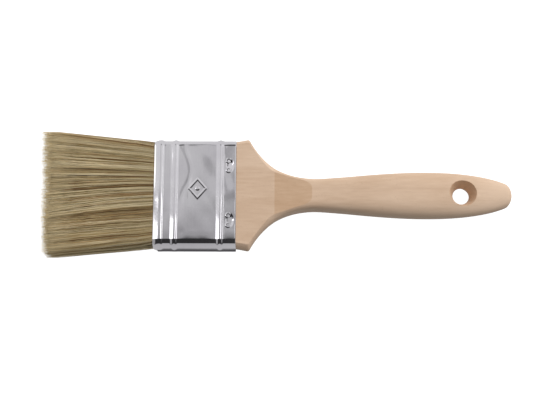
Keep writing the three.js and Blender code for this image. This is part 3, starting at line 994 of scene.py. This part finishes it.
# Brightness of the studio that bright metal mirrors.
CEILING_LOW = (0.43, 0.61)  # in its lower half, from the camera's side upwards
CEILING_HIGH = (0.66, 0.80)  # in its upper half, in the middle and to either side
CEILING_DIM = 0.70  # share left in the dim stretch
CEILING_EDGE = 0.10
FAR_WALL = 0.78
DARK_SIDE = 0.035
BEHIND_CAMERA = 0.54
CORNER = 0.22
BELOW = (0.57, 0.78)
# Brightness of the studio that matt surfaces see, from the side away from the key to its own.
SOFT_LIGHT = [(0.27, 0.10), (0.5, 0.56), (0.8, 0.78)]
SOFT_SHARE = 0.79
RIM_LIGHT = 0.5
BACKDROP = 1.05


def studio_world():
    """White for the camera, a soft gradient for matt surfaces, and a studio for bright metal."""
    world = bpy.data.worlds.new("studio")
    scene.world = world
    world.use_nodes = True
    s = Shader("studio", world.node_tree)
    direction = s.node("ShaderNodeTexCoord").outputs["Generated"]
    x, y, z = s.node("ShaderNodeSeparateXYZ", {0: direction}).outputs

    def from_to(value, start, end):
        """0 before start, 1 after end, and smooth between them."""
        return s.node("ShaderNodeMapRange", {
            "Value": value, "From Min": start, "From Max": end}, interpolation_type="SMOOTHSTEP",
        ).outputs[0]

    def within(value, low, high, soft=0.02):
        rising = from_to(value, low - soft, low + soft)
        falling = from_to(value, high - soft, high + soft)
        return s.math("SUBTRACT", rising, falling)

    def blend(amount, a, b):
        """a where amount is 0, b where it is 1, as plain values."""
        made = s.node("ShaderNodeMix", data_type="FLOAT")
        s.feed(made.inputs[0], amount)
        s.feed(made.inputs[2], a)
        s.feed(made.inputs[3], b)
        return made.outputs[0]

    def both(a, b):
        return s.math("MULTIPLY", a, b)

    # what bright metal mirrors: a grey ceiling, lighter to either side in its upper half
    upper = from_to(y, 0.225, 0.26)
    aside = from_to(s.math("ABSOLUTE", s.math("ADD", x, 0.085)), 0.045, 0.13)
    ceiling = blend(
        upper, blend(from_to(y, 0.18, 0.26), *CEILING_LOW), blend(aside, *CEILING_HIGH))
    # a dim stretch of it falls on the plate behind the last bead
    ceiling = both(ceiling, blend(within(x, -0.061, -0.02, 0.006), 1.0, CEILING_DIM))
    # the far edge of the ceiling, partly dark, and the light wall beyond it
    gap_line = both(within(y, 0.60, 0.80, 0.05), within(x, -0.085, 0.12))
    ceiling = blend(gap_line, ceiling, CEILING_EDGE)
    ceiling = blend(from_to(y, 0.80, 0.88), ceiling, FAR_WALL)
    # the camera side of the room is dark in the middle
    toward_camera = s.math("MULTIPLY", y, -1)
    dark_side = both(from_to(toward_camera, -0.175, -0.11), within(x, -0.6, 0.6, 0.06))
    ceiling = blend(dark_side, ceiling, DARK_SIDE)
    ceiling = blend(from_to(toward_camera, 0.77, 0.85), ceiling, BEHIND_CAMERA)
    # a dark corner beyond the light panels
    corner = both(from_to(x, 0.585, 0.64), within(y, 0.06, 0.385, 0.065))
    ceiling = blend(corner, ceiling, CORNER)
    panels = [
        (within(x, -0.95, -0.74), from_to(y, 0.25, 0.262), 2.0),
        (within(x, -0.95, -0.30), within(y, 0.15, 0.226, 0.006), 2.4),
        (within(x, 0.40, 0.52), within(y, 0.15, 0.243, 0.006), 2.4),
        (within(x, 0.50, 0.54), from_to(y, 0.24, 0.26), 1.1),
    ]
    for one, other, strength in panels:
        ceiling = blend(both(one, other), ceiling, strength)
    below = blend(from_to(y, -0.6, 0.3), *BELOW)
    mirror = blend(from_to(z, -0.03, 0.03), below, ceiling)

    key_side = s.math("ADD", both(x, 0.25), both(y, 0.45))
    key_side = s.math("ADD", key_side, both(z, 0.55))
    soft = s.ramp(s.math("ADD", both(key_side, 0.5), 0.5), SOFT_LIGHT)
    # a light wall behind the brush's upper side, which rims its edges
    rim = both(from_to(y, 0.6, 0.9), RIM_LIGHT)
    soft = s.math("ADD", both(soft, SOFT_SHARE), rim)
    matt = s.node("ShaderNodeBackground", {"Color": soft, "Strength": 1.0})
    shiny = s.node("ShaderNodeBackground", {"Color": mirror, "Strength": 1.0})
    white = s.node("ShaderNodeBackground", {"Color": (1, 1, 1, 1), "Strength": BACKDROP})
    path = s.node("ShaderNodeLightPath")
    first = s.node("ShaderNodeMixShader", {0: path.outputs["Is Glossy Ray"]})
    s.tree.links.new(matt.outputs[0], first.inputs[1])
    s.tree.links.new(shiny.outputs[0], first.inputs[2])
    second = s.node("ShaderNodeMixShader", {0: path.outputs["Is Camera Ray"]})
    s.tree.links.new(first.outputs[0], second.inputs[1])
    s.tree.links.new(white.outputs[0], second.inputs[2])
    out = s.node("ShaderNodeOutputWorld")
    s.tree.links.new(second.outputs[0], out.inputs["Surface"])


studio_world()

CAMERA_DISTANCE = 0.46
VIEW_TILT = 14.4  # degrees from straight above, towards the lower narrow side
FRAME_WIDTH = 0.2943  # what the camera sees at the brush
FRAME_SHIFT = 0.15  # share of the frame's width
FRAME_ROLL = 0.2  # degrees
SENSOR_WIDTH = 36
OFF_CENTRE = (0.0026, 0.0024)

camera_data = bpy.data.cameras.new("photo_camera")
camera_data.sensor_width = SENSOR_WIDTH
camera_data.lens = SENSOR_WIDTH * CAMERA_DISTANCE / FRAME_WIDTH
camera_data.shift_y = FRAME_SHIFT
camera_data.clip_start = 0.01
camera = bpy.data.objects.new("photo_camera", camera_data)
scene.collection.objects.link(camera)
scene.camera = camera
tilt = math.radians(VIEW_TILT) - math.atan(FRAME_SHIFT * FRAME_WIDTH / CAMERA_DISTANCE)
back = Vector((0, -math.sin(tilt), math.cos(tilt)))
up = Vector((0, math.cos(tilt), math.sin(tilt)))
right = Vector((1, 0, 0))
centre = (cad_low + cad_high) / 2
camera.location = (centre + back * CAMERA_DISTANCE - right * OFF_CENTRE[0]
                   - up * (OFF_CENTRE[1] + FRAME_SHIFT * FRAME_WIDTH))
camera.rotation_mode = "QUATERNION"
camera.rotation_quaternion = (
    Matrix((right, up, back)).transposed().to_quaternion()
    @ Quaternion((0, 0, 1), math.radians(FRAME_ROLL)))
